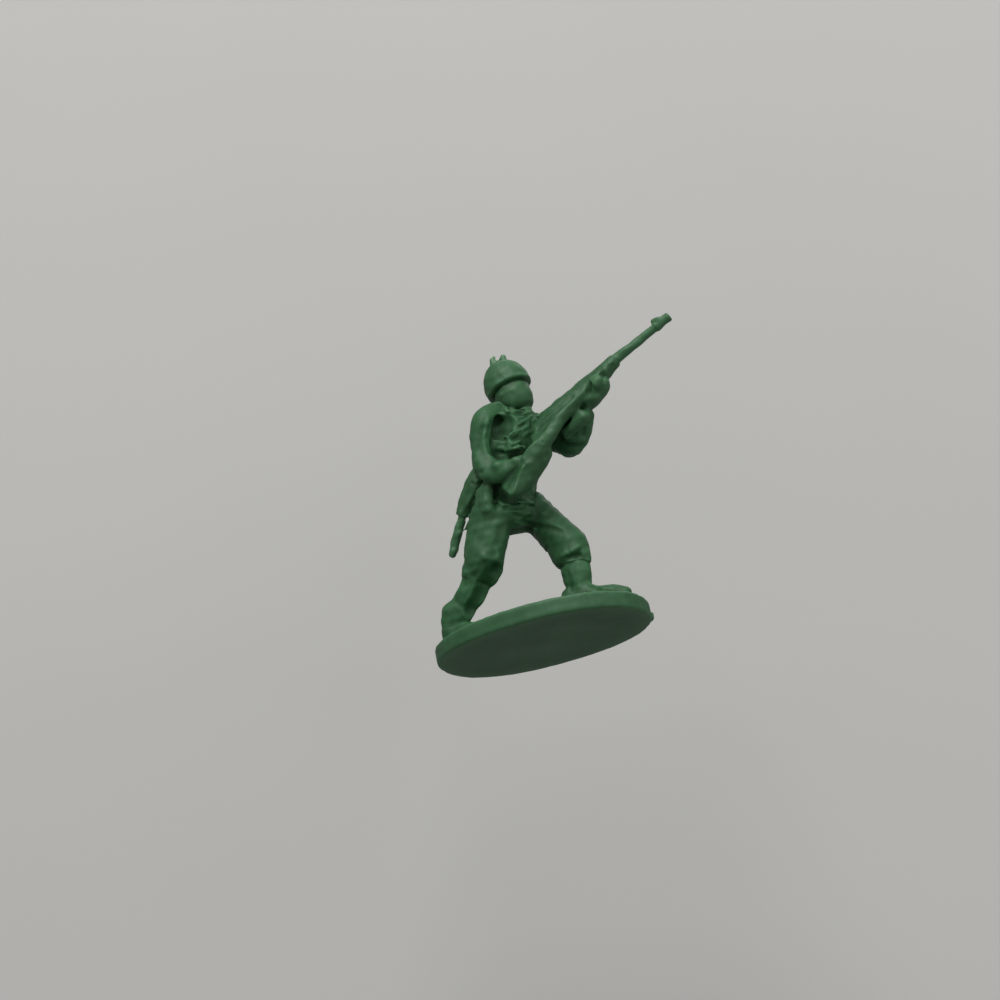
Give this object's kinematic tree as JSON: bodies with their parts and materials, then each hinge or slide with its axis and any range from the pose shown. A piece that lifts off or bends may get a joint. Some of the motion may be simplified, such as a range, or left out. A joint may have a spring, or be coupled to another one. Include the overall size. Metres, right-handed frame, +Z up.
{
  "type": "toy soldier figure",
  "caption": "Small one-shot moulded toy rifleman in a steep-rimmed helmet, stepping forward with a rifle held across the chest and up, on a thick oval base.",
  "frame": {"origin": "middle of the flat underside of the oval base", "axes": "+X the way the figure steps and the rifle points, +Y to the figure's left, +Z up from the base to the helmet"},
  "size_m": [0.0248, 0.0138, 0.025],
  "materials": {
    "base_plastic": "satin moulded polyethylene, a little scuffed on the flat underside",
    "boots_plastic": "satin moulded polyethylene",
    "clothing_plastic": "satin moulded polyethylene with soft sculpted folds",
    "kit_plastic": "satin moulded polyethylene",
    "skin_plastic": "smooth satin moulded polyethylene",
    "helmet_plastic": "smooth satin moulded polyethylene",
    "rifle_plastic": "satin moulded polyethylene"
  },
  "bodies": {
    "root": {"base": "base_plastic", "boot_right": "boots_plastic", "boot_left": "boots_plastic", "gaiter_right": "boots_plastic", "gaiter_left": "boots_plastic", "trousers": "clothing_plastic", "jacket": "clothing_plastic", "belt": "kit_plastic", "strap_right": "kit_plastic", "strap_left": "kit_plastic", "chest_pouches": "kit_plastic", "neck": "skin_plastic", "head": "skin_plastic", "helmet": "helmet_plastic", "moulding_flash": "helmet_plastic", "sleeve_right": "clothing_plastic", "hand_right": "skin_plastic", "sleeve_left": "clothing_plastic", "hand_left": "skin_plastic", "rifle_stock": "rifle_plastic", "rifle_handguard": "rifle_plastic", "rifle_barrel": "rifle_plastic", "rifle_gas_cylinder": "rifle_plastic", "front_sight": "rifle_plastic", "canteen": "kit_plastic", "tool_cover": "kit_plastic", "tool_handle": "kit_plastic"}
  },
  "joints": []
}
